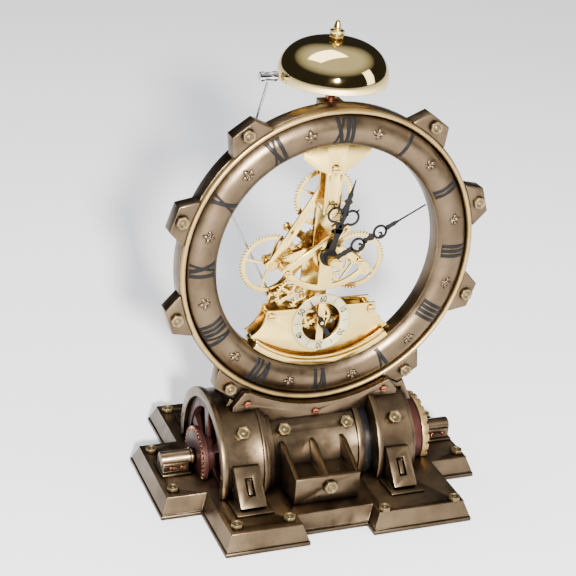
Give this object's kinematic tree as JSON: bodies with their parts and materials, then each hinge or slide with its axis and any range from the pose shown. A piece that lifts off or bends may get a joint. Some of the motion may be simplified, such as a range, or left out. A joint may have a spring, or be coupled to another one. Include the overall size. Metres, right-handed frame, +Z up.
{
  "type": "skeleton clock",
  "caption": "Table clock with an open dial ring, a visible brass wheel train and hands, a bell with a wire hammer on top, and a battery base shaped like a dynamo",
  "frame": {"origin": "centre of the plinth's rectangular footprint on the surface it stands on", "axes": "+Z up, the dial faces -Y, +X is to the right as the dial is read"},
  "size_m": [0.237, 0.183, 0.3277],
  "materials": {
    "bronze": "cold-cast metal with an antique bronze finish: rubbed pinkish-tan highlights, dark in the recesses",
    "black_plastic": "black moulded plastic, fine matt texture",
    "lead": "black insulated twin lead",
    "cell_wrap": "plain printed wrap on dry cells, without marks",
    "bolt_brass": "dull aged brass, darker in the recess of each head",
    "copper": "satin copper, slightly tarnished",
    "rotor_red": "dark red lacquer rubbed on the edges",
    "rotor_black": "near-black lacquer",
    "antique_gold": "antique gold finish, worn on the high points",
    "black_paint": "satin black",
    "dial_brass": "satin brass with a pale printed chapter ring",
    "polished_brass": "polished and lacquered brass",
    "steel": "drawn steel wire, bright",
    "chrome": "bright chrome plate"
  },
  "bodies": {
    "root": {"plinth": "bronze", "base_cover": "black_plastic", "battery_holder": "black_plastic", "batteries": "cell_wrap", "battery_lead": "lead", "case_bolts": "bolt_brass", "small_screws": "copper", "left_drum": "bronze", "left_rotor": "rotor_red", "stub_shafts": "bronze", "pedestals": "bronze", "drum_legs": "bronze", "centre_barrel": "bronze", "terminal_box": "bronze", "rotor_band": "rotor_black", "right_drum": "bronze", "red_disc": "rotor_red", "notched_ring": "antique_gold", "saddle": "bronze", "ring_case": "bronze", "ring_tube": "bronze", "gold_bead": "antique_gold", "numerals": "black_paint", "ornaments": "antique_gold", "lug_bolts": "bolt_brass", "inner_ledge": "polished_brass", "lower_plate": "polished_brass", "seconds_dial": "dial_brass", "quadrant_bridge": "polished_brass", "top_bridge": "polished_brass", "middle_plate": "polished_brass", "rear_bridge": "polished_brass", "pillars": "polished_brass", "plate_screws": "polished_brass", "motor": "black_plastic", "bell_bracket": "bronze", "bell_post": "copper", "bell": "polished_brass", "finial_nut": "polished_brass", "hammer_coil": "copper", "hammer_spring": "steel"},
    "minute": {"centre_arbor": "polished_brass", "minute_hand": "black_paint", "hand_cap": "polished_brass", "set_knob": "polished_brass"},
    "motion_work": {"minute_wheel": "polished_brass"},
    "hour": {"hour_wheel": "polished_brass", "hour_hand": "black_paint"},
    "left_train": {"left_wheel": "polished_brass"},
    "upper_train": {"upper_wheel": "polished_brass"},
    "right_train": {"right_wheel": "polished_brass"},
    "fourth": {"fourth_arbor": "polished_brass"},
    "third": {"third_arbor": "polished_brass"},
    "seconds": {"seconds_arbor": "polished_brass", "seconds_hand": "black_paint"},
    "motor_shaft": {"motor_pinion": "steel"},
    "hammer": {"hammer_arm": "steel", "hammer_head": "chrome"},
    "door": {"battery_door": "black_plastic"}
  },
  "joints": [
    {"name": "minute_turn", "type": "hinge", "parent": "root", "child": "minute", "pos_m": [0, 0, 0.1708], "axis": [0, -1, 0], "continuous": true},
    {"name": "motion_work_turn", "type": "hinge", "parent": "root", "child": "motion_work", "pos_m": [0.00919, 0, 0.16309], "axis": [0, -1, 0], "continuous": true},
    {"name": "hour_turn", "type": "hinge", "parent": "root", "child": "hour", "pos_m": [0, 0, 0.1708], "axis": [0, -1, 0], "continuous": true},
    {"name": "left_wheel_turn", "type": "hinge", "parent": "root", "child": "left_train", "pos_m": [-0.0355, 0, 0.16129], "axis": [0, -1, 0], "continuous": true},
    {"name": "upper_wheel_turn", "type": "hinge", "parent": "root", "child": "upper_train", "pos_m": [0, 0, 0.20755], "axis": [0, -1, 0], "continuous": true},
    {"name": "right_wheel_turn", "type": "hinge", "parent": "root", "child": "right_train", "pos_m": [0.02946, 0, 0.15768], "axis": [0, -1, 0], "continuous": true},
    {"name": "fourth_turn", "type": "hinge", "parent": "root", "child": "fourth", "pos_m": [-0.02188, 0, 0.14198], "axis": [0, -1, 0], "continuous": true},
    {"name": "third_turn", "type": "hinge", "parent": "root", "child": "third", "pos_m": [-0.01281, 0, 0.12911], "axis": [0, -1, 0], "continuous": true},
    {"name": "seconds_turn", "type": "hinge", "parent": "root", "child": "seconds", "pos_m": [0, 0, 0.1213], "axis": [0, -1, 0], "continuous": true},
    {"name": "motor_turn", "type": "hinge", "parent": "root", "child": "motor_shaft", "pos_m": [0.01175, 0, 0.11703], "axis": [0, -1, 0], "continuous": true},
    {"name": "hammer_swing", "type": "hinge", "parent": "root", "child": "hammer", "pos_m": [-0.032, 0, 0.1368], "axis": [0, 1, 0], "range_deg": [-8, 0.6], "stiffness_Nm_per_rad": 0.2, "springref_deg": 0.3},
    {"name": "battery_door_slide", "type": "slide", "parent": "root", "child": "door", "axis": [1, 0, 0], "range_m": [0, 0.06]}
  ],
  "couplings": [
    {"joint": "motion_work_turn", "follows": "minute_turn", "ratio": -0.33333},
    {"joint": "hour_turn", "follows": "minute_turn", "ratio": 0.083333},
    {"joint": "left_wheel_turn", "follows": "minute_turn", "ratio": -0.75},
    {"joint": "upper_wheel_turn", "follows": "minute_turn", "ratio": -0.75},
    {"joint": "right_wheel_turn", "follows": "minute_turn", "ratio": -0.53571},
    {"joint": "fourth_turn", "follows": "minute_turn", "ratio": 6},
    {"joint": "third_turn", "follows": "minute_turn", "ratio": -15},
    {"joint": "seconds_turn", "follows": "minute_turn", "ratio": 60},
    {"joint": "motor_turn", "follows": "minute_turn", "ratio": -240}
  ]
}
